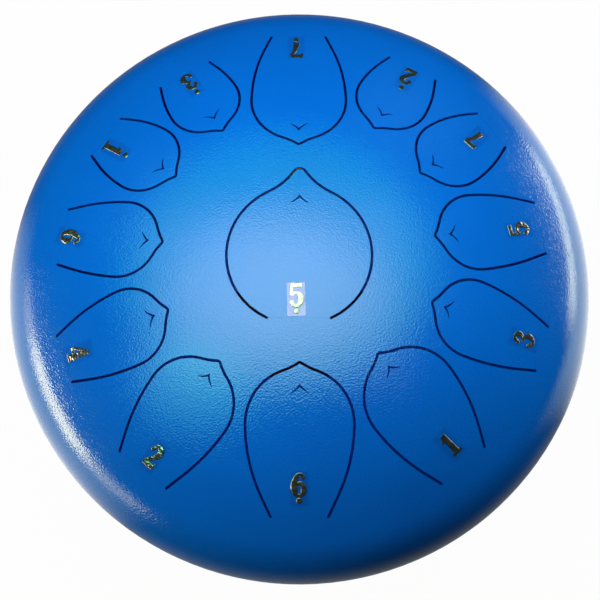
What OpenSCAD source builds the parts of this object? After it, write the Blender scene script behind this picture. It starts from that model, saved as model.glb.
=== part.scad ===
// Steel tongue drum: two pressed shells joined at the rim, thirteen laser-cut tongues and three rubber feet.
// Origin: centre of the drum on the surface that the feet stand on. +Z up, the lowest note's tongue tip points to +Y.

/* [Shells] */
// Outside diameter of the drum
drum_d = 300; // [250:1:360]
// Radius of the domed crown of each shell
crown_r = 249; // [205:1:320]
// Radius of the rolled shoulder between crown and skirt
shoulder_r = 41; // [32:0.5:50]
// Height of the straight skirt of each shell
skirt_h = 5; // [4:0.1:8]
// Thickness of the steel sheet
wall = 1.6; // [1.2:0.1:2.2]
// Height of the inner lap of the lower shell above the seam
lap_h = 4.6; // [3:0.1:7]
// Radial clearance between the lap and the upper skirt
lap_gap = 0.1; // [0.05:0.01:0.3]
// Depth of the V groove that the seam weld fills
groove = 0.8; // [0.5:0.05:1]
// Height of the weld's crown over the skirt
weld_crown = 0.15; // [0.05:0.05:0.4]
// Diameter of the sound hole in the lower shell
sound_hole_d = 80; // [50:1:100]

/* [Tongue slots] */
// Distance from the rim of the drum to the circle on which the slots end
slot_margin = 30; // [26:0.5:45]
// Width of the laser-cut slots
slot_w = 1.3; // [0.8:0.05:1.7]
// How far a tongue's tip stands out of its round bulb
tip_reach = 2.4; // [2:0.1:4]
// Rounding of a tongue's tip, on the middle line of the slot
tip_round = 1.2; // [1:0.05:2]
// Radius of the hollow neck between tip and bulb
neck_r = 30; // [18:1:40]
// How far the centre tongue's tip stands out of its bulb
centre_reach = 8.6; // [7:0.5:10]
// Rounding of the centre tongue's tip
centre_round = 3.3; // [2.5:0.1:4]
// Hairline left free between a tongue's root and the shell
root_gap = 0.04; // [0.03:0.01:0.1]

/* [Swallow marks] */
// Width of the swallow-shaped cut near each tip
mark_w = 8.4; // [5:0.1:10]
// Height of the cut from its point to its wing ends
mark_h = 4.2; // [2.5:0.1:5]
// Thickness of the cut at its point
mark_stroke = 1.5; // [0.8:0.05:2]
// Thickness of the cut at its wing ends
mark_end = 0.3; // [0.1:0.05:0.5]

/* [Note labels] */
// Width of a clear label
label_w = 8.3; // [6:0.1:10]
// Length of a clear label
label_l = 15.4; // [12:0.1:18]
// Thickness of the film
film = 0.1; // [0.05:0.01:0.2]
// Thickness of the adhesive under the film
adhesive = 0.1; // [0.08:0.01:0.2]

/* [Feet] */
// Number of feet
feet = 3; // [3:1:5]
// Radius of the circle on which the feet are bolted
foot_circle_r = 85; // [70:1:90]
// Height of the crown's lowest point over the ground, before the sound hole is cut
ground_gap = 2; // [1:0.5:4]
// Diameter of a foot against the shell
foot_base_d = 28; // [24:0.5:32]
// Diameter of the foot's round nose
foot_nose_d = 24; // [20:0.5:26]
// Distance from the shell to the centre of the nose
foot_nose_h = 7; // [6:0.5:9]
// Thickness of the foot's brim before it tapers
foot_brim = 2.5; // [1.5:0.1:4]
// Gap between a foot and the shell
foot_gap = 0.1; // [0.05:0.05:0.3]
// Diameter of the moulded-in stud
stud_d = 4; // [3:0.5:5]
// Diameter of the stud's buried head
stud_head_d = 10; // [8:0.5:12]
// Thickness of the stud's buried head
stud_head_h = 2; // [1.5:0.1:2.5]
// Length of stud that stands past the nut
stud_end = 2; // [1:0.5:4]
// Clearance of a stud in its hole in the shell, on the diameter
stud_play = 0.5; // [0.2:0.1:1]
// Outside diameter of the washers
washer_d = 9; // [8:0.5:12]
// Thickness of the washers
washer_h = 0.8; // [0.5:0.1:1.2]
// Width of the nuts across their flats
nut_flats = 7; // [6:0.5:8]
// Height of the nuts
nut_h = 3.2; // [2.4:0.1:4]
// Fitting clearance between stud, rubber, nut and washer
fit = 0.03; // [0.02:0.01:0.1]

/* [Hidden] */
$fn = 180;
over = 1;
drum_r = drum_d / 2;
slot_end_r = drum_r - slot_margin;
half_slot = slot_w / 2;
// Share of a tongue's length that is straight before its root
tail_share = 0.15;

// Section of a shell, with the seam at height zero
grain = 0.001;
shoulder_x = drum_r - shoulder_r;
crown_depth = crown_r - sqrt(pow(crown_r - shoulder_r, 2) - pow(shoulder_x, 2));
crown_y = skirt_h + crown_depth - crown_r;
blend_angle = asin(shoulder_x / (crown_r - shoulder_r));
seam_z = ground_gap + crown_depth + skirt_h;
top_z = seam_z + skirt_h + crown_depth;

// One row for each outer tongue. Angles are in degrees from the front, and lengths are shares of the radius on
// which the slots end: name, angle, sideways offset, tip, bulb radius, root, half width of the root, point of the
// swallow mark behind the tip, then the label's place along and across the tongue and its turn as stuck on by hand
tongue_shares = [
    ["a3",   -1.05,  0.0000, 0.4074, 0.2083, 0.9786, 0.1125, 0.0785, 0.875, -0.0015,   1.1],
    ["c4",   38.84, -0.0080, 0.4758, 0.1883, 1.0085, 0.1128, 0.0575, 0.913, -0.0035,   8.3],
    ["e4",   71.13, -0.0032, 0.5367, 0.1516, 1.0188, 0.0942, 0.0475, 0.935, -0.0018,   3.0],
    ["g4",   99.51, -0.0005, 0.5363, 0.1544, 0.9964, 0.1092, 0.0562, 0.898, -0.0047,   4.5],
    ["b4",  126.22, -0.0016, 0.5982, 0.1471, 0.9973, 0.0933, 0.0592, 0.902, -0.0008,   9.6],
    ["d5",  150.51,  0.0023, 0.6258, 0.1485, 0.9927, 0.1092, 0.0642, 0.922, -0.0028,   0.2],
    ["b3",  179.21,  0.0040, 0.4667, 0.1918, 1.0249, 0.1150, 0.0612, 0.960,  0.0132,   0.8],
    ["e5", -151.34,  0.0047, 0.6220, 0.1481, 0.9680, 0.1169, 0.0642, 0.904,  0.0060,   2.6],
    ["c5", -126.43,  0.0058, 0.6028, 0.1472, 0.9834, 0.0998, 0.0583, 0.900,  0.0357,   0.6],
    ["a4",  -99.62,  0.0102, 0.5419, 0.1541, 0.9723, 0.1171, 0.0550, 0.937,  0.0118, -11.4],
    ["f4",  -70.06,  0.0029, 0.5464, 0.1516, 1.0068, 0.0987, 0.0535, 0.944,  0.0060,  -6.0],
    ["d4",  -38.48, -0.0004, 0.5051, 0.1762, 1.0072, 0.1179, 0.0583, 0.939,  0.0046,  -1.6]
];
// The centre tongue in the same columns: its axis runs through the middle of the drum, so its tip is negative
centre_shares = ["g3", -1.27, -0.0036, -0.3583, 0.2802, 0.24, 0.1225, 0.111, 0.17, -0.014, 1.27];

outer = [for (row = tongue_shares) row[0]];

// Points of an arc, from angle a0 to a1
function arc(centre, r, a0, a1, n) =
    [for (i = [0 : n]) let (a = a0 + (a1 - a0) * i / n) centre + r * [cos(a), sin(a)]];

// Points of a shallow arc from p to q that bulges to its right by a sagitta
function bow(p, q, sagitta, n) =
    let (
        half = norm(q - p) / 2,
        r = (half * half + sagitta * sagitta) / (2 * sagitta),
        along = (q - p) / (2 * half),
        right = [along[1], -along[0]],
        centre = (p + q) / 2 - right * (r - sagitta),
        a = asin(half / r)
    )
    [for (i = [0 : n]) let (t = -a + 2 * a * i / n) centre + r * (cos(t) * right + sin(t) * along)];

function mirrored(points) = [for (i = [len(points) - 1 : -1 : 0]) [points[i][0], -points[i][1]]];

// A tongue in its own frame: x runs from the tip at zero to the root, and y across it.
// Sizes are [length, bulb radius, root half width, tip reach, tip rounding, length of the straight tail].
function flank(s) =
    let (
        bulb_x = s[1] + s[3],
        run = s[0] - bulb_x,
        drop = s[1] - s[2],
        tail = s[5],
        r = (run * run + drop * drop - tail * tail) / (2 * drop),
        turn = atan2(run, r - drop) - atan2(tail, r)
    )
    [bulb_x, r, turn];

// One edge of the slot, from tip to root, at a distance off the slot's middle line
function side(s, off) =
    let (
        f = flank(s),
        to_tip = f[0] - s[4],
        a = s[1] + neck_r,
        b = s[4] + neck_r,
        bulb_angle = acos((a * a + to_tip * to_tip - b * b) / (2 * a * to_tip)),
        neck = [f[0] - a * cos(bulb_angle), a * sin(bulb_angle)],
        tip_angle = atan2(neck[1], s[4] - neck[0])
    )
    concat(
        arc([s[4], 0], s[4] + off, 180, 180 - tip_angle, 3),
        arc(neck, neck_r - off, -tip_angle, -bulb_angle, 4),
        arc([f[0], 0], s[1] + off, 180 - bulb_angle, 90, 12),
        arc([f[0], s[1] - f[1]], f[1] + off, 90, 90 - f[2], 8)
    );

// The hole that a tongue stands in: the slot's outer edge, its round ends and the root line
function hole_outline(s) =
    let (
        f = flank(s),
        last = -90 + asin(root_gap / half_slot),
        half = concat(side(s, half_slot), arc([s[0], s[2]], half_slot, 90 - f[2], last, 6))
    )
    concat(half, mirrored(half));

// The tongue itself: the slot's inner edge up to the root line
function tongue_outline(s) =
    let (
        f = flank(s),
        half = concat(side(s, -half_slot), arc([s[0], s[2]], half_slot, -90 - f[2], -90, 2))
    )
    concat(half, mirrored(half));

// The swallow-shaped cut, its point at x zero
mark_outline =
    let (
        upper = bow([0, 0], [mark_h - mark_end, mark_w / 2], mark_h / 12, 5),
        lower = bow([mark_stroke, 0], [mark_h, mark_w / 2], mark_h / 12, 5),
        half = concat(upper, [for (i = [5 : -1 : 0]) lower[i]])
    )
    concat(half, [for (i = [len(half) - 2 : -1 : 1]) [half[i][0], -half[i][1]]]);

function shares(i) = i < 0 ? centre_shares : tongue_shares[i];
function sizes(i) =
    let (
        row = shares(i),
        length = (row[5] - row[3]) * slot_end_r,
        bulb = row[4] * slot_end_r,
        root = row[6] * slot_end_r
    )
    i < 0 ? [length, bulb, root, centre_reach, centre_round, 0]
        : [length, bulb, root, tip_reach, tip_round, tail_share * length];

// Puts a tongue's frame in the drum's plan: i is a row, or -1 for the centre tongue
module place_tongue(i) {
    row = shares(i);
    rotate(row[1] - 90) translate([row[3] * slot_end_r, row[2] * slot_end_r]) children();
}

// Moves up in two steps, whole grains and then the rest
module raise(y) {
    whole = floor(y / grain) * grain;
    translate([0, whole]) translate([0, y - whole]) children();
}

// Section of the space inside a shell's outer face, drawn in by a depth: crown, shoulder and skirt
module filled_section(depth) {
    far = 2 * crown_r;
    intersection() {
        raise(crown_y) circle(crown_r - depth);
        raise(crown_y) polygon([[0, 0], [far * sin(blend_angle), far * cos(blend_angle)], [0, far]]);
    }
    intersection() {
        translate([shoulder_x, skirt_h]) circle(shoulder_r - depth);
        translate([0, skirt_h]) square(drum_r);
    }
    square([drum_r - depth, skirt_h]);
    raise(crown_y) polygon([[0, skirt_h - crown_y], [shoulder_x, skirt_h - crown_y], [0, 0]]);
}

module shell_section() {
    difference() {
        filled_section(0);
        filled_section(wall);
    }
}

module groove_section() {
    polygon([[drum_r - groove, 0], [drum_r + over, groove + over], [drum_r + over, -groove - over]]);
}

// The pressed upper sheet before its slots are cut
module upper_blank() {
    translate([0, 0, seam_z]) rotate_extrude() difference() {
        shell_section();
        groove_section();
    }
}

module upper_shell() {
    color("#0a62c4") difference() {
        upper_blank();
        for (i = [-1 : len(tongue_shares) - 1])
            translate([0, 0, seam_z]) linear_extrude(top_z - seam_z + over)
                place_tongue(i) polygon(hole_outline(sizes(i)));
    }
}

// A layer of the upper crown between two heights over its outer face. The spheres lie with their poles level.
module crown_layer(low, high) {
    translate([0, 0, top_z - crown_r]) rotate([90, 0, 0]) difference() {
        sphere(crown_r + high);
        sphere(crown_r + low);
    }
}

module tongue(i) {
    color("#1670d4") intersection() {
        crown_layer(-wall, 0);
        translate([0, 0, seam_z]) linear_extrude(top_z - seam_z + over)
            place_tongue(i) difference() {
                polygon(tongue_outline(sizes(i)));
                translate([shares(i)[7] * slot_end_r, 0]) polygon(mark_outline);
            }
    }
}

// The lap ring inside the upper skirt, joggled in from the lower skirt; its height is negative, as the lower shell
// is drawn upside down
module lap_section() {
    outside = drum_r - wall - lap_gap;
    polygon([
        [outside, -lap_h],
        [outside, 0],
        [drum_r - wall, lap_gap],
        [drum_r - wall / 2, wall],
        [drum_r - wall / 2, skirt_h / 2 + wall],
        [drum_r - wall, skirt_h / 2 + wall],
        [outside - wall, skirt_h / 2],
        [outside - wall, -lap_h]
    ]);
}

// Puts a foot's axis on the lower shell: z points out of the shell, square to it, from its outer face
module at_foot(i) {
    tilt = asin(foot_circle_r / crown_r);
    rotate(90 + 360 / feet * (i - 1))
        translate([0, 0, ground_gap + crown_r])
            rotate([0, 180 - tilt, 0])
                translate([0, 0, crown_r]) children();
}

module lower_shell() {
    color("#0a5cb8") difference() {
        translate([0, 0, seam_z]) mirror([0, 0, 1]) rotate_extrude() difference() {
            union() {
                shell_section();
                lap_section();
            }
            groove_section();
        }
        cylinder(d = sound_hole_d, h = seam_z);
        for (i = [1 : feet])
            at_foot(i) translate([0, 0, -wall - over]) cylinder(d = stud_d + stud_play, h = wall + 2 * over);
    }
}

module seam_weld() {
    color("#0a5ab2") translate([0, 0, seam_z]) rotate_extrude()
        polygon([[drum_r - groove, 0], [drum_r, groove], [drum_r + weld_crown, 0], [drum_r, -groove]]);
}

module note_label(i) {
    row = shares(i);
    color("#d8e4f0", 0.4) intersection() {
        crown_layer(adhesive, adhesive + film);
        translate([0, 0, seam_z]) linear_extrude(top_z - seam_z + over)
            rotate(row[1] - 90) translate([row[8] * slot_end_r, row[9] * slot_end_r])
                rotate(row[10]) square([label_l, label_w], center = true);
    }
}

module foot(i) {
    color("#141414") difference() {
        intersection() {
            at_foot(i) rotate_extrude() difference() {
                union() {
                    translate([0, foot_nose_h]) circle(d = foot_nose_d);
                    polygon([
                        [0, -over],
                        [foot_base_d / 2, -over],
                        [foot_base_d / 2, foot_brim],
                        [foot_nose_d / 2, foot_nose_h],
                        [0, foot_nose_h]
                    ]);
                }
                translate([-foot_nose_d, -foot_nose_d]) square([foot_nose_d, 3 * foot_nose_d]);
                translate([0, -foot_nose_d - over]) square([foot_nose_d, foot_nose_d]);
            }
            translate([-drum_r, -drum_r, 0]) cube([drum_d, drum_d, seam_z]);
        }
        translate([0, 0, ground_gap + crown_r]) sphere(crown_r + foot_gap);
        at_foot(i) translate([0, 0, -over]) cylinder(d = stud_d + 2 * fit, h = foot_nose_h);
        at_foot(i) translate([0, 0, foot_brim - fit])
            cylinder(d = stud_head_d + 2 * fit, h = stud_head_h + 2 * fit);
    }
}

washer_seat = crown_r - wall - sqrt(pow(crown_r - wall, 2) - pow(washer_d / 2, 2));
stud_in = wall + washer_seat + washer_h + nut_h + stud_end;

module foot_stud(i) {
    color("#b9bcc0") at_foot(i) {
        translate([0, 0, -stud_in]) cylinder(d = stud_d, h = stud_in + foot_brim + stud_head_h / 2);
        translate([0, 0, foot_brim]) cylinder(d = stud_head_d, h = stud_head_h);
    }
}

module foot_washer(i) {
    color("#c4c7ca") at_foot(i) translate([0, 0, -wall - washer_seat - fit - washer_h]) difference() {
        cylinder(d = washer_d, h = washer_h);
        translate([0, 0, -over]) cylinder(d = stud_d + stud_play, h = washer_h + 2 * over);
    }
}

module foot_nut(i) {
    color("#b0b3b7") at_foot(i)
        translate([0, 0, -wall - washer_seat - 2 * fit - washer_h - nut_h]) difference() {
            cylinder(d = nut_flats / cos(30), h = nut_h, $fn = 6);
            translate([0, 0, -over]) cylinder(d = stud_d + 2 * fit, h = nut_h + 2 * over);
        }
}

upper_shell();
lower_shell();
seam_weld();
tongue(-1);  // tongue_g3
note_label(-1);  // note_label_g3
for (i = [0 : len(outer) - 1]) {
    tongue(i);
    note_label(i);
}
for (i = [1 : feet]) {
    foot(i);
    foot_stud(i);
    foot_washer(i);
    foot_nut(i);
}
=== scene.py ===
import math
import bpy
import bmesh
from mathutils import Matrix, Vector


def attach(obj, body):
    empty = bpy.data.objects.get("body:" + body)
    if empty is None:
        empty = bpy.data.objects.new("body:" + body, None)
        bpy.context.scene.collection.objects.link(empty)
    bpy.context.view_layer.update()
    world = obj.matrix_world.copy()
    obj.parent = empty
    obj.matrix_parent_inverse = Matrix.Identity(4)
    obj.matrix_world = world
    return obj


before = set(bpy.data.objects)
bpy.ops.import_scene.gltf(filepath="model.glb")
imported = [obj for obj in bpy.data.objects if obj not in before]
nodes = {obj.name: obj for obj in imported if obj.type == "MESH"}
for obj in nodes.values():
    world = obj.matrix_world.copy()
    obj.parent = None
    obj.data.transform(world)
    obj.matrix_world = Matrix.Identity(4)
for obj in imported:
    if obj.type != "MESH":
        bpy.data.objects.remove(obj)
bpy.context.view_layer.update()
noteNames = ["g3", "a3", "b3", "c4", "d4", "e4", "f4", "g4", "a4", "b4", "c5", "d5", "e5"]
print("stage: frame loaded,", len(nodes), "nodes")

# The drum's main sizes in metres, as in the part
drum = {"radius": 0.150, "crown": 0.249, "shoulder": 0.041, "skirt": 0.005, "ground": 0.002, "slotEnd": 0.120}
drum["shoulderX"] = drum["radius"] - drum["shoulder"]
crownToShoulder = drum["crown"] - drum["shoulder"]
drum["depth"] = drum["crown"] - math.sqrt(crownToShoulder ** 2 - drum["shoulderX"] ** 2)
drum["seam"] = drum["ground"] + drum["depth"] + drum["skirt"]
drum["top"] = drum["seam"] + drum["skirt"] + drum["depth"]
drum["blend"] = math.asin(drum["shoulderX"] / crownToShoulder)  # tilt at which crown turns into shoulder

# Camera, angles in degrees
view = {"target": (-0.0004, -0.0210, drum["top"]), "elevation": 78.31, "azimuth": -1.56, "roll": 0.66,
        "distance": 0.500, "lens": 65.94, "sensor": 36, "near": 0.01, "far": 20}


def makeCamera():
    e, a, roll = (math.radians(view[k]) for k in ("elevation", "azimuth", "roll"))
    back = Vector((math.sin(a) * math.cos(e), -math.cos(a) * math.cos(e), math.sin(e)))
    level = Vector((math.cos(a), math.sin(a), 0))
    upright = back.cross(level)
    right = math.cos(roll) * level + math.sin(roll) * upright
    up = math.cos(roll) * upright - math.sin(roll) * level
    lens = bpy.data.cameras.new("camera")
    lens.lens, lens.sensor_width = view["lens"], view["sensor"]
    lens.clip_start, lens.clip_end = view["near"], view["far"]
    camera = bpy.data.objects.new("camera", lens)
    turn = Matrix((right, up, back)).transposed().to_4x4()
    camera.matrix_world = Matrix.Translation(Vector(view["target"]) + back * view["distance"]) @ turn
    bpy.context.scene.collection.objects.link(camera)
    bpy.context.scene.camera = camera


makeCamera()
print("stage: camera")


def newMaterial(name):
    material = bpy.data.materials.new(name)
    material.use_nodes = True
    tree = material.node_tree
    return material, tree, tree.nodes["Principled BSDF"]


# Adds a node; values name either an input socket or a property
def addNode(tree, kind, **values):
    node = tree.nodes.new(kind)
    for key, value in values.items():
        if key in node.inputs:
            node.inputs[key].default_value = value
        else:
            setattr(node, key, value)
    return node


# A chain of bumps, coarse to fine: each layer is (scale of the noise, its detail, height in metres)
def addRelief(tree, shader, coords, layers):
    last = None
    for scale, detail, height in layers:
        noise = addNode(tree, "ShaderNodeTexNoise", Scale=scale, Detail=detail)
        bump = addNode(tree, "ShaderNodeBump", Strength=1.0, Distance=height)
        tree.links.new(coords.outputs["Object"], noise.inputs["Vector"])
        tree.links.new(noise.outputs["Fac"], bump.inputs["Height"])
        if last:
            tree.links.new(last.outputs["Normal"], bump.inputs["Normal"])
        last = bump
    tree.links.new(last.outputs["Normal"], shader.inputs["Normal"])


# The noises behind colour and roughness: their detail, and the stretch of them that makes the whole change
clouds = {"colour": {"detail": 3.0, "from": 0.35, "to": 0.65},
          "rough": {"detail": 4.0, "from": 0.3, "to": 0.7}}


# A noise over the piece that wanders between low and high
def addCloud(tree, coords, kind, scale, low, high):
    cloud = clouds[kind]
    noise = addNode(tree, "ShaderNodeTexNoise", Scale=scale, Detail=cloud["detail"])
    spread = addNode(tree, "ShaderNodeMapRange", **{"From Min": cloud["from"], "From Max": cloud["to"],
                                                    "To Min": low, "To Max": high})
    tree.links.new(coords.outputs["Object"], noise.inputs["Vector"])
    tree.links.new(noise.outputs["Fac"], spread.inputs["Value"])
    return spread.outputs["Result"]


# Two colours that drift into each other over the surface
def addDrift(tree, shader, coords, scale, first, second):
    mix = addNode(tree, "ShaderNodeMix", data_type="RGBA")
    mix.inputs["A"].default_value = (*first, 1)
    mix.inputs["B"].default_value = (*second, 1)
    tree.links.new(addCloud(tree, coords, "colour", scale, 0, 1), mix.inputs["Factor"])
    tree.links.new(mix.outputs["Result"], shader.inputs["Base Color"])


# Each finish: drift is a noise's scale and two colours, rough a noise's scale and two roughnesses, and relief
# the layers of addRelief. The coat's tint makes its gloss a little blue-green.
finishes = {
    "bluePowderCoat": {"drift": (14, (0.0006, 0.142, 0.640), (0.0009, 0.154, 0.690)),
                       "rough": (60, 0.13, 0.16), "relief": [(1250, 0, 0.00010)],
                       "specular": 0.8, "tint": (0.6, 1.0, 0.7)},
    "footRubber": {"drift": (40, (0.016, 0.016, 0.017), (0.026, 0.026, 0.027)), "rough": (200, 0.62, 0.78),
                   "relief": [(500, 2, 0.00008), (2500, 2, 0.00003)], "specular": 0.4},
    "zincPlate": {"drift": (300, (0.34, 0.39, 0.50), (0.43, 0.47, 0.57)), "rough": (500, 0.26, 0.42),
                  "relief": [(1500, 3, 0.00001)], "metallic": 1.0},
    "goldFoil": {"drift": (260, (0.20, 0.28, 0.24), (0.33, 0.41, 0.36)), "rough": (900, 0.14, 0.26),
                 "relief": [(520, 1, 0.00045)], "metallic": 0.93},
}


def makeFinish(name):
    f = finishes[name]
    material, tree, shader = newMaterial(name)
    coords = addNode(tree, "ShaderNodeTexCoord")
    addDrift(tree, shader, coords, *f["drift"])
    tree.links.new(addCloud(tree, coords, "rough", *f["rough"]), shader.inputs["Roughness"])
    addRelief(tree, shader, coords, f["relief"])
    shader.inputs["Metallic"].default_value = f.get("metallic", 0.0)
    shader.inputs["Specular IOR Level"].default_value = f.get("specular", 0.5)
    shader.inputs["Specular Tint"].default_value = (*f.get("tint", (1, 1, 1)), 1)
    return material


film = {"ior": 1.8, "rough": 0.10}


# Clear film: what is under it shows through, and its face only adds gloss
def makeFilm():
    material, tree, shader = newMaterial("labelFilm")
    tree.nodes.remove(shader)
    clear = addNode(tree, "ShaderNodeBsdfTransparent")
    gloss = addNode(tree, "ShaderNodeBsdfGlossy", Roughness=film["rough"])
    fresnel = addNode(tree, "ShaderNodeFresnel", IOR=film["ior"])
    facing = addNode(tree, "ShaderNodeNewGeometry")
    outer = addNode(tree, "ShaderNodeMath", operation="SUBTRACT")
    share = addNode(tree, "ShaderNodeMath", operation="MULTIPLY")
    mix = addNode(tree, "ShaderNodeMixShader")
    outer.inputs[0].default_value = 1.0  # no gloss where a ray leaves the film
    tree.links.new(facing.outputs["Backfacing"], outer.inputs[1])
    tree.links.new(fresnel.outputs["Fac"], share.inputs[0])
    tree.links.new(outer.outputs[0], share.inputs[1])
    tree.links.new(share.outputs[0], mix.inputs["Fac"])
    tree.links.new(clear.outputs[0], mix.inputs[1])
    tree.links.new(gloss.outputs[0], mix.inputs[2])
    tree.links.new(mix.outputs[0], tree.nodes["Material Output"].inputs["Surface"])
    return material


def dress(node, material):
    mesh = nodes[node].data
    mesh.materials.clear()
    mesh.materials.append(material)


coat, rubber, zinc, gold = (makeFinish(name) for name in finishes)
clearFilm = makeFilm()
for name in ["upper_shell", "lower_shell", "seam_weld"] + ["tongue_" + n for n in noteNames]:
    dress(name, coat)
for name in noteNames:
    dress("note_label_" + name, clearFilm)
for i in (1, 2, 3):
    dress(f"foot_{i}", rubber)
    for kind in ("foot_stud", "foot_washer", "foot_nut"):
        dress(f"{kind}_{i}", zinc)
print("stage: materials")


sheet = {"axis": 1e-9,  # radius below which a point lies on the drum's axis
         "along": 0.9}  # least cosine between the normals of the sheet and of a face that follows it


# Direction square to the pressed sheet at a point
def sheetNormal(p):
    upper = p.z > drum["seam"]
    sign = 1 if upper else -1
    crownZ = drum["top"] - drum["crown"] if upper else drum["ground"] + drum["crown"]
    shoulderZ = drum["seam"] + sign * drum["skirt"]
    r = math.hypot(p.x, p.y)
    radial = Vector((p.x / r, p.y / r, 0)) if r > sheet["axis"] else Vector((0, 0, 0))
    height = (p.z - shoulderZ) * sign
    if height <= 0:
        return radial
    if math.atan2(r, abs(p.z - crownZ)) < drum["blend"]:
        return Vector((p.x, p.y, p.z - crownZ)).normalized()
    return (radial * (r - drum["shoulderX"]) + Vector((0, 0, sign * height))).normalized()


# Faces that follow the sheet get its true normals, so that no facet shows in the gloss; cut edges stay crisp
def smoothSheet(node):
    mesh = nodes[node].data
    for polygon in mesh.polygons:
        polygon.use_smooth = True
    normals = [None] * len(mesh.loops)
    for polygon in mesh.polygons:
        face = polygon.normal
        for k in polygon.loop_indices:
            n = sheetNormal(mesh.vertices[mesh.loops[k].vertex_index].co)
            along = face.dot(n)
            normals[k] = n if along > sheet["along"] else -n if along < -sheet["along"] else face
    mesh.normals_split_custom_set([tuple(n) for n in normals])


for name in ["upper_shell", "lower_shell"]:
    smoothSheet(name)
for name in noteNames:
    smoothSheet("tongue_" + name)
    smoothSheet("note_label_" + name)
print("stage: smooth sheet")

# Numerals: raised gold foil on the clear labels. A stroke is a row of (across, up, half width) in
# millimetres, and a ball is the same with its radius. Each kind of dot has the shift of its digit and the
# dot's own height.
numeral = {"unit": 0.001, "middle": 5.5, "lift": 0.00019, "crown": 0.12, "bold": 1.25, "steps": 6,
           "dot": 1.35, "dotBelow": (1.7, -5.4), "dotAbove": (-1.9, 6.3),
           "around": 20, "rings": 10, "weld": 1e-4, "sharp": 50}
strokes = {
    1: [[(0.3, 0.6, 1.1), (0.3, 5.5, 1.1), (0.3, 10.9, 1.1)],
        [(-2.3, 8.1, 0.45), (-1.0, 8.9, 0.65), (0.2, 10.2, 0.8)],
        [(-2.3, 0.55, 0.6), (0.3, 0.55, 0.6), (2.9, 0.55, 0.6)]],
    2: [[(-2.1, 8.2, 0.7), (-0.2, 10.3, 0.65), (2.0, 8.3, 1.15), (0.6, 4.8, 0.85), (-2.3, 1.6, 0.6)],
        [(-2.7, 0.85, 0.85), (0.0, 0.85, 0.95), (2.7, 0.85, 0.85)],
        [(2.5, 1.0, 0.5), (3.0, 2.9, 0.35)]],
    3: [[(-2.1, 8.6, 0.7), (-0.2, 10.35, 0.6), (1.9, 8.4, 1.1), (0.5, 6.2, 0.55), (-0.7, 5.8, 0.5)],
        [(-0.7, 5.8, 0.5), (0.8, 5.5, 0.6), (2.2, 3.1, 1.25), (0.0, 0.65, 0.6), (-2.2, 2.3, 0.7)]],
    4: [[(0.9, 10.4, 0.6), (-1.2, 6.9, 0.5), (-3.0, 3.5, 0.5)],
        [(-3.1, 3.2, 0.55), (0.0, 3.2, 0.55), (3.1, 3.2, 0.55)],
        [(1.1, 0.6, 1.05), (1.1, 5.5, 1.05), (1.1, 10.9, 1.05)],
        [(-0.9, 0.5, 0.5), (1.1, 0.5, 0.5), (3.0, 0.5, 0.5)]],
    5: [[(-2.1, 10.2, 0.8), (0.3, 10.2, 0.8), (2.7, 10.2, 0.8)],
        [(-1.9, 10.3, 0.5), (-2.1, 8.0, 0.5), (-2.2, 5.6, 0.5)],
        [(-2.2, 5.6, 0.5), (0.0, 6.8, 0.65), (2.2, 3.9, 1.25), (0.0, 0.65, 0.6), (-2.3, 2.3, 0.7)]],
    6: [[(1.9, 8.9, 0.7), (0.4, 10.35, 0.55), (-1.9, 7.2, 1.1), (-2.2, 3.6, 1.2), (0.0, 0.65, 0.6),
         (2.2, 3.4, 1.15), (0.2, 6.4, 0.55), (-1.8, 4.6, 0.5)]],
    7: [[(-2.8, 10.0, 0.95), (0.0, 10.0, 0.95), (2.9, 10.0, 0.95)],
        [(-2.7, 10.2, 0.4), (-2.95, 8.2, 0.35)],
        [(2.6, 9.6, 0.55), (0.7, 5.6, 0.85), (-0.2, 0.5, 1.2)]],
}
balls = {2: [(-2.0, 8.0, 1.0)], 3: [(-2.0, 8.4, 0.95), (-2.1, 2.5, 1.0)], 5: [(-2.1, 2.5, 1.0)],
         6: [(1.9, 8.8, 0.95)]}
# Each label: angle from the front in degrees, place along and across its tongue as shares of the slot circle,
# turn in degrees, digit, and its dot, below or above
labels = {
    "g3": (-1.27, 0.17, -0.014, 1.27, 5, "dotBelow"), "a3": (-1.05, 0.875, -0.0015, 1.1, 6, "dotBelow"),
    "b3": (179.21, 0.960, 0.0132, 0.8, 7, "dotBelow"), "c4": (38.84, 0.913, -0.0035, 8.3, 1, ""),
    "d4": (-38.48, 0.939, 0.0046, -1.6, 2, ""), "e4": (71.13, 0.935, -0.0018, 3.0, 3, ""),
    "f4": (-70.06, 0.944, 0.0060, -6.0, 4, ""), "g4": (99.51, 0.898, -0.0047, 4.5, 5, ""),
    "a4": (-99.62, 0.937, 0.0118, -11.4, 6, ""), "b4": (126.22, 0.902, -0.0008, 9.6, 7, ""),
    "c5": (-126.43, 0.900, 0.0357, 0.6, 1, "dotAbove"), "d5": (150.51, 0.922, -0.0028, 0.2, 2, "dotAbove"),
    "e5": (-151.34, 0.904, 0.0060, 2.6, 3, "dotAbove"),
}


# The section that a stroke is swept with: flat, with rounded edges, one wide each way
def strokeSection():
    curve = bpy.data.curves.new("strokeSection", "CURVE")
    curve.dimensions = "2D"
    section = [(-1, 0), (-0.94, 0.6), (-0.80, 0.92), (0, 1), (0.80, 0.92), (0.94, 0.6), (1, 0)]
    spline = curve.splines.new("POLY")
    spline.points.add(len(section) - 1)
    for point, (x, y) in zip(spline.points, section):
        point.co = (x, y * numeral["crown"], 0, 1)
    spline.use_cyclic_u = True
    return bpy.data.objects.new("strokeSection", curve)


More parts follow.
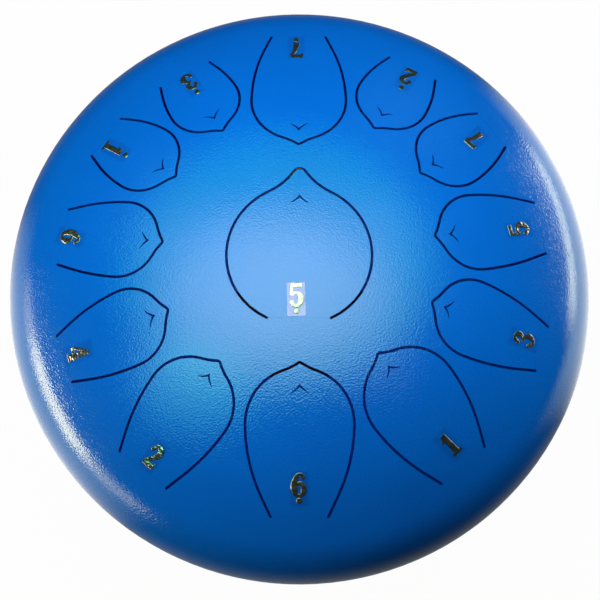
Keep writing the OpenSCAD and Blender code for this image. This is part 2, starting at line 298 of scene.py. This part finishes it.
def addStroke(shape, points, section):
    curve = bpy.data.curves.new("stroke", "CURVE")
    curve.dimensions, curve.twist_mode, curve.resolution_u = "3D", "Z_UP", numeral["steps"]
    curve.bevel_mode, curve.bevel_object, curve.use_fill_caps = "OBJECT", section, True
    spline = curve.splines.new("BEZIER")
    spline.bezier_points.add(len(points) - 1)
    for point, (x, y, half) in zip(spline.bezier_points, points):
        point.co, point.radius = (x, y, 0), half * numeral["bold"]
        point.handle_left_type = point.handle_right_type = "AUTO"
    holder = bpy.data.objects.new("stroke", curve)
    bpy.context.scene.collection.objects.link(holder)
    bpy.context.view_layer.update()
    mesh = bpy.data.meshes.new_from_object(holder.evaluated_get(bpy.context.evaluated_depsgraph_get()))
    shape.from_mesh(mesh)
    bpy.data.objects.remove(holder)
    bpy.data.curves.remove(curve)
    bpy.data.meshes.remove(mesh)


# A low round button, flat below
def addButton(shape, x, y, radius):
    ball = bmesh.new()
    bmesh.ops.create_uvsphere(ball, u_segments=numeral["around"], v_segments=numeral["rings"],
                              radius=radius)
    bmesh.ops.scale(ball, vec=(1, 1, numeral["crown"]), verts=ball.verts)
    half = bmesh.ops.bisect_plane(ball, geom=ball.verts[:] + ball.edges[:] + ball.faces[:],
                                  plane_co=(0, 0, 0), plane_no=(0, 0, -1), clear_outer=True)
    bmesh.ops.holes_fill(ball, edges=[g for g in half["geom_cut"] if isinstance(g, bmesh.types.BMEdge)])
    bmesh.ops.translate(ball, vec=(x, y, 0), verts=ball.verts)
    mesh = bpy.data.meshes.new("button")
    ball.to_mesh(mesh)
    ball.free()
    shape.from_mesh(mesh)
    bpy.data.meshes.remove(mesh)


def makeNumeral(note, section):
    angle, along, across, turn, digit, dot = labels[note]
    shape = bmesh.new()
    for points in strokes[digit]:
        addStroke(shape, points, section)
    for ball in balls.get(digit, []):
        addButton(shape, *ball)
    shift, dotUp = numeral[dot] if dot else (0, 0)
    bmesh.ops.translate(shape, vec=(0, shift - numeral["middle"], 0), verts=shape.verts)
    if dot:
        addButton(shape, 0, dotUp, numeral["dot"])
    bmesh.ops.remove_doubles(shape, verts=shape.verts, dist=numeral["weld"])
    bmesh.ops.recalc_face_normals(shape, faces=shape.faces)
    # the digit's top points to the middle of the drum
    place = (Matrix.Rotation(math.radians(angle - 90), 4, "Z")
             @ Matrix.Translation((along * drum["slotEnd"], across * drum["slotEnd"], 0))
             @ Matrix.Rotation(math.radians(turn + 90), 4, "Z") @ Matrix.Scale(numeral["unit"], 4))
    bmesh.ops.transform(shape, matrix=place, verts=shape.verts)
    for v in shape.verts:  # laid on the dome as the film is
        reach = drum["crown"] + numeral["lift"] + v.co.z
        v.co.z = drum["top"] - drum["crown"] + math.sqrt(reach ** 2 - v.co.x ** 2 - v.co.y ** 2)
    mesh = bpy.data.meshes.new("numeral_" + note)
    shape.to_mesh(mesh)
    shape.free()
    mesh.shade_smooth()
    mesh.set_sharp_from_angle(angle=math.radians(numeral["sharp"]))
    mesh.materials.append(gold)
    piece = bpy.data.objects.new("numeral_" + note, mesh)
    bpy.context.scene.collection.objects.link(piece)
    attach(piece, "note_" + note)


section = strokeSection()
for name in noteNames:
    makeNumeral(name, section)
bpy.data.objects.remove(section)
print("stage: numerals")

# Floor, lamps and sky. The floor shows white, with a painted shadow under the drum: there it turns a dark
# colour and does not glow. In the gloss the floor glows as a painted reflection: bright to the sides, more so
# to the right, and in a weak painted pool of light round the drum. Distances are in metres from the drum's
# axis, and sheenFrom and sheenTo are cosines to the line at sheenAngle degrees.
studio = {"floor": 6.0, "glow": 0.93, "seen": 1.05, "darkTo": 0.10, "brightFrom": 0.15, "sky": 0.01,
          "sheenAngle": 14, "sheenFrom": 0.78, "sheenTo": 0.95, "left": 1.4, "right": 1.9,
          "poolFrom": 0.18, "poolTo": 0.34, "pool": 0.25,
          "paintedShadow": (0.008, 0.01, 0.02), "paper": (0.28, 0.28, 0.28), "paperRough": 0.9,
          "aimHeight": 0.13}  # what the cards and the back lamps point at
# A lamp that is only for "gloss" or only for "shade" is seen by nothing else. The softboxes hang a little
# apart, because of two lamps in one plane only one shows in the gloss. The widest and the one to the lower
# left are tinted green and the others pink, as the glow is in the photo. A blue lamp inside the drum makes
# the slots navy.
lamps = {
    "softbox1": {"at": (-0.090, 0.130, 0.53), "size": (0.86, 0.72), "power": 2.6, "only": "gloss",
                 "colour": (0.08, 1, 0.26)},
    "softbox2": {"at": (-0.090, 0.020, 0.52), "size": (0.68, 0.44), "power": 0.76, "only": "gloss",
                 "colour": (1, 0.57, 0.73), "square": True},
    "softbox3": {"at": (-0.065, 0.010, 0.51), "size": (0.56, 0.40), "power": 0.80, "only": "gloss",
                 "colour": (1, 0.66, 0.78)},
    "softbox4": {"at": (-0.055, 0.020, 0.50), "size": (0.42, 0.30), "power": 0.47, "only": "gloss",
                 "colour": (1, 0.60, 0.66)},
    "softbox5": {"at": (-0.035, 0.015, 0.49), "size": (0.23, 0.19), "power": 0.10, "only": "gloss",
                 "colour": (1, 0.65, 0.66)},
    "softbox6": {"at": (-0.290, -0.210, 0.505), "size": (0.34, 0.22), "power": 0.36, "only": "gloss",
                 "colour": (0.29, 1, 0.6)},
    "top": {"at": (0.00, 0.06, 0.36), "size": (0.46, 0.34), "power": 0.86, "only": "shade"},
    "topInside": {"at": (0.0, 0.0, 0.10), "size": (0.12, 0.12), "power": 0.02, "only": "shade",
                  "colour": (0.4, 0.3, 1.0)},
    "backRight": {"at": (0.54, 0.94, 0.64), "size": (0.5, 0.5), "power": 2.1, "only": "shade"},
    "backLeft": {"at": (-0.70, 0.59, 0.90), "size": (0.5, 0.5), "power": 1.9, "only": "shade"},
    "leftCard": {"at": (-0.905, -0.285, 0.16), "size": (0.48, 0.26), "power": 3.9,
                 "colour": (1.0, 0.66, 0.52)},
    "leftWide": {"at": (-0.900, -0.320, 0.15), "size": (1.08, 0.24), "power": 3.1,
                 "colour": (1.0, 0.66, 0.52)},
    "rightCard": {"at": (0.900, 0.310, 0.112), "size": (0.62, 0.20), "power": 3.0,
                  "colour": (1.0, 0.78, 0.68)},
}


# Rises from 0 to top while the value goes from start to end
def addRamp(tree, value, start, end, top):
    ramp = addNode(tree, "ShaderNodeMapRange", **{"From Min": start, "From Max": end, "To Max": top})
    tree.links.new(value, ramp.inputs["Value"])
    return ramp.outputs["Result"]


def addMath(tree, operation, *values):
    node = addNode(tree, "ShaderNodeMath", operation=operation)
    for socket, value in zip(node.inputs, values):
        tree.links.new(value, socket)
    return node.outputs[0]


# How brightly the floor glows in the gloss, a painted reflection: the brightest of both sides, the right side
# alone and the painted pool of light
def addPaintedSheen(tree, place, far):
    unit = addNode(tree, "ShaderNodeVectorMath", operation="NORMALIZE")
    line = addNode(tree, "ShaderNodeVectorMath", operation="DOT_PRODUCT")
    angle = math.radians(studio["sheenAngle"])
    line.inputs[1].default_value = (math.cos(angle), math.sin(angle), 0)
    tree.links.new(place, unit.inputs[0])
    tree.links.new(unit.outputs["Vector"], line.inputs[0])
    right = line.outputs["Value"]
    either = addMath(tree, "ABSOLUTE", right)
    sides = addRamp(tree, either, studio["sheenFrom"], studio["sheenTo"], studio["left"])
    right = addRamp(tree, right, studio["sheenFrom"], studio["sheenTo"], studio["right"])
    # painted pool of light round the drum, seen only in the gloss
    pool = addRamp(tree, far, studio["poolTo"], studio["poolFrom"], studio["pool"])
    return addMath(tree, "MAXIMUM", addMath(tree, "MAXIMUM", sides, right), pool)


def makeFloorPaper():
    material, tree, shader = newMaterial("floorPaper")
    link = tree.links.new
    shader.inputs["Roughness"].default_value = studio["paperRough"]
    path = addNode(tree, "ShaderNodeLightPath")
    place = addNode(tree, "ShaderNodeTexCoord").outputs["Object"]
    far = addNode(tree, "ShaderNodeVectorMath", operation="LENGTH")
    link(place, far.inputs[0])
    # Painted shadow: under the drum the paper turns a dark colour and its glow fades out, between darkTo and
    # brightFrom metres from the axis
    clear = addRamp(tree, far.outputs["Value"], studio["darkTo"], studio["brightFrom"], studio["glow"])
    shade = addNode(tree, "ShaderNodeMix", data_type="RGBA")
    shade.inputs["A"].default_value = (*studio["paintedShadow"], 1)
    shade.inputs["B"].default_value = (*studio["paper"], 1)
    link(clear, shade.inputs["Factor"])
    link(shade.outputs["Result"], shader.inputs["Base Color"])
    # Glow strength: the even white for the camera, and the painted sheen for gloss rays
    strength = addNode(tree, "ShaderNodeMapRange")
    strength.inputs["To Min"].default_value = studio["seen"]
    link(path.outputs["Is Glossy Ray"], strength.inputs["Value"])
    link(addPaintedSheen(tree, place, far.outputs["Value"]), strength.inputs["To Max"])
    glow = addNode(tree, "ShaderNodeEmission")
    link(strength.outputs["Result"], glow.inputs["Strength"])
    seen = addMath(tree, "MAXIMUM", path.outputs["Is Camera Ray"], path.outputs["Is Glossy Ray"])
    seen = addMath(tree, "MAXIMUM", seen, path.outputs["Is Transmission Ray"])
    mix = addNode(tree, "ShaderNodeMixShader")
    link(addMath(tree, "MULTIPLY", seen, clear), mix.inputs["Fac"])
    link(shader.outputs[0], mix.inputs[1])
    link(glow.outputs[0], mix.inputs[2])
    link(mix.outputs[0], tree.nodes["Material Output"].inputs["Surface"])
    return material


def makeFloor():
    mesh = bpy.data.meshes.new("floor")
    b = bmesh.new()
    bmesh.ops.create_grid(b, x_segments=1, y_segments=1, size=studio["floor"] / 2)
    b.to_mesh(mesh)
    b.free()
    mesh.materials.append(makeFloorPaper())
    floor = bpy.data.objects.new("floor", mesh)
    bpy.context.scene.collection.objects.link(floor)


def makeLamps():
    for name, s in lamps.items():
        overhead = name.startswith("softbox") or name.startswith("top")
        light = bpy.data.lights.new(name, "AREA")
        light.shape = "ELLIPSE" if overhead and not s.get("square") else "RECTANGLE"
        light.size, light.size_y = s["size"]
        light.energy = s["power"]
        light.color = s.get("colour", (1, 1, 1))
        lamp = bpy.data.objects.new(name, light)
        lamp.location = s["at"]
        aim = Vector((s["at"][0], s["at"][1], 0)) if overhead else Vector((0, 0, studio["aimHeight"]))
        lamp.rotation_mode = "QUATERNION"
        lamp.rotation_quaternion = (Vector(s["at"]) - aim).to_track_quat("Z", "Y")
        lamp.visible_glossy = s.get("only") != "shade"
        lamp.visible_diffuse = s.get("only") != "gloss"
        lamp.visible_camera = False
        bpy.context.scene.collection.objects.link(lamp)


def makeSky():
    world = bpy.data.worlds.new("studio")
    world.use_nodes = True
    tree = world.node_tree
    sky = tree.nodes["Background"]
    path = addNode(tree, "ShaderNodeLightPath")
    level = addNode(tree, "ShaderNodeMapRange", **{"To Min": studio["sky"], "To Max": 1.0})
    tree.links.new(path.outputs["Is Camera Ray"], level.inputs["Value"])
    tree.links.new(level.outputs["Result"], sky.inputs["Strength"])
    sky.inputs["Color"].default_value = (1, 1, 1, 1)
    bpy.context.scene.world = world


makeFloor()
makeLamps()
makeSky()
bpy.context.scene.view_settings.view_transform = "Standard"
print("stage: studio")
